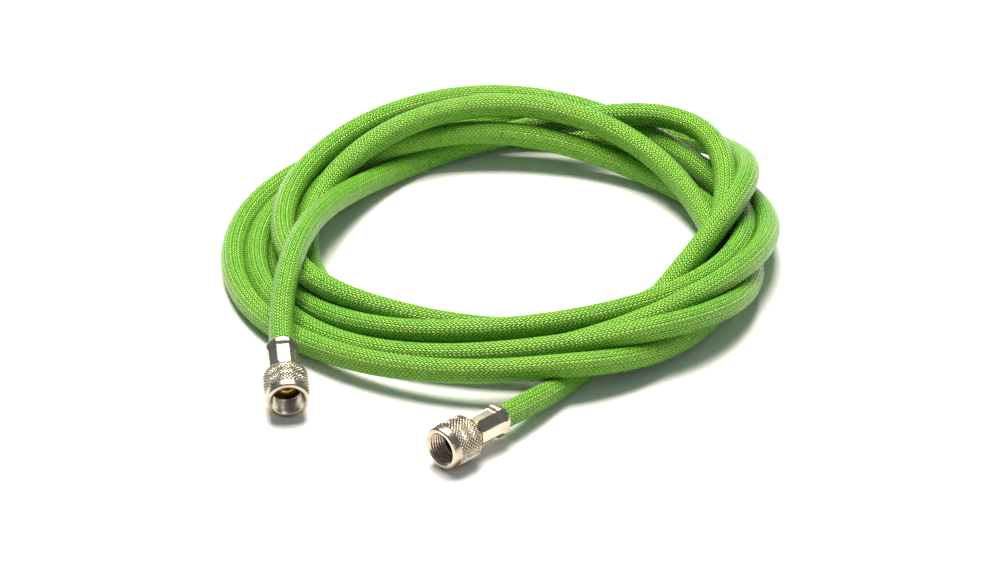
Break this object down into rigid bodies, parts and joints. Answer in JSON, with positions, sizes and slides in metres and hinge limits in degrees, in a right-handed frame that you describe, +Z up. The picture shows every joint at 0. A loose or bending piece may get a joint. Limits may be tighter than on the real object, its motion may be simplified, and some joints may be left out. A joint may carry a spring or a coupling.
{
  "type": "coiled air hose",
  "caption": "Braided flexible air hose, loosely coiled, with a knurled swivel nut, brass nipple and crimped ferrule on each end.",
  "frame": {"origin": "centre of the bounding box's underside, on the surface that the hose lies on", "axes": "+Z up; +Y from the fittings towards the back of the coil; +X to the right seen from the fittings"},
  "size_m": [0.166, 0.2072, 0.0213],
  "materials": {
    "braided_jacket": "fine herringbone braid of glossy lime-green synthetic yarn",
    "air_tube": "smooth translucent flexible tube",
    "ferrule_nickel": "bright warm nickel plate with soft crimp facets",
    "nipple_brass": "turned brass, bare",
    "ring_nickel": "bright nickel plate",
    "nut_nickel": "bright warm nickel plate, diamond knurled"
  },
  "bodies": {
    "hose": {"hose_coil": "braided_jacket", "hose_run_a": "braided_jacket", "hose_run_b": "braided_jacket", "liner_end_a": "air_tube", "liner_end_b": "air_tube", "braid_end_a": "braided_jacket", "braid_end_b": "braided_jacket", "ferrule_a": "ferrule_nickel", "ferrule_b": "ferrule_nickel", "nipple_a": "nipple_brass", "nipple_b": "nipple_brass"},
    "slip_ring_a": {"slip_ring_a": "ring_nickel"},
    "swivel_nut_a": {"swivel_nut_a": "nut_nickel"},
    "slip_ring_b": {"slip_ring_b": "ring_nickel"},
    "swivel_nut_b": {"swivel_nut_b": "nut_nickel"}
  },
  "joints": [
    {"name": "ring_slide_a", "type": "slide", "parent": "hose", "child": "slip_ring_a", "axis": [0.1029, -0.9794, -0.1736], "range_m": [-0.001, 0]},
    {"name": "nut_spin_a", "type": "hinge", "parent": "slip_ring_a", "child": "swivel_nut_a", "pos_m": [-0.06063, -0.06278, 0.0079], "axis": [0.1029, -0.9794, -0.1736], "continuous": true},
    {"name": "ring_slide_b", "type": "slide", "parent": "hose", "child": "slip_ring_b", "axis": [-0.7071, -0.7071, 0], "range_m": [-0.001, 0]},
    {"name": "nut_spin_b", "type": "hinge", "parent": "slip_ring_b", "child": "swivel_nut_b", "pos_m": [-0.00926, -0.09226, 0.0065], "axis": [-0.7071, -0.7071, 0], "continuous": true}
  ]
}
